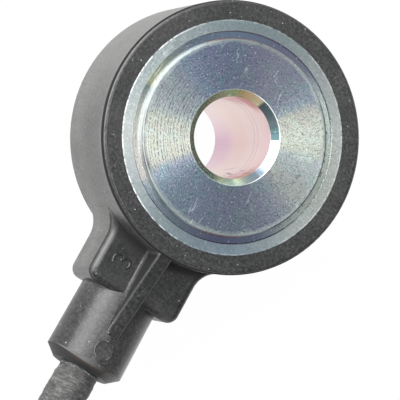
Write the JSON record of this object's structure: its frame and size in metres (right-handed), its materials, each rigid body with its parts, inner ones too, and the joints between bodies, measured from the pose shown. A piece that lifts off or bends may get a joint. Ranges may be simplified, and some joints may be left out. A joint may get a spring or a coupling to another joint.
{
  "type": "engine knock sensor",
  "caption": "Ring-shaped knock sensor on a steel bolt sleeve, black moulded body with a ribbed side tail and a short sleeved lead to a sealed plug.",
  "frame": {"origin": "centre of the bolt bore at the sleeve's lower end", "axes": "+Z along the bore towards the engine-side contact pad, +Y away from the lead's tail"},
  "size_m": [0.0628, 0.0913, 0.0167],
  "materials": {
    "black_moulding": "spark-eroded, fine grain, faint sheen",
    "passivated_steel": "turned, zinc plated, blue iridescent passivate",
    "brass_strip": "stamped, bright",
    "piezo_ceramic": "ground, matte",
    "insulating_film": "smooth film",
    "bright_steel": "turned",
    "chip_ceramic": "matte",
    "core_insulation": "extruded, smooth",
    "core_insulation_dark": "extruded, smooth",
    "lead_sleeve": "crinkled, dull sheen",
    "connector_plastic": "moulded, fine grain",
    "seal_rubber": "moulded silicone",
    "retainer_plastic": "moulded",
    "tinned_pin": "tin plated"
  },
  "bodies": {
    "root": {"housing": "black_moulding", "sleeve": "passivated_steel", "insulating_tube": "insulating_film", "flange_insulator": "insulating_film", "flange_contact": "brass_strip", "piezo_ring": "piezo_ceramic", "mass_contact": "brass_strip", "mass_insulator": "insulating_film", "seismic_mass": "bright_steel", "disc_spring": "bright_steel", "clamp_nut": "bright_steel", "bleed_resistor": "chip_ceramic", "signal_core": "core_insulation", "return_core": "core_insulation_dark", "cable": "lead_sleeve", "connector_housing": "connector_plastic", "connector_rear_cap": "connector_plastic", "wire_seal": "seal_rubber", "pin_retainer": "retainer_plastic", "signal_pin": "tinned_pin", "return_pin": "tinned_pin", "signal_core_end": "core_insulation", "return_core_end": "core_insulation_dark"}
  },
  "joints": []
}
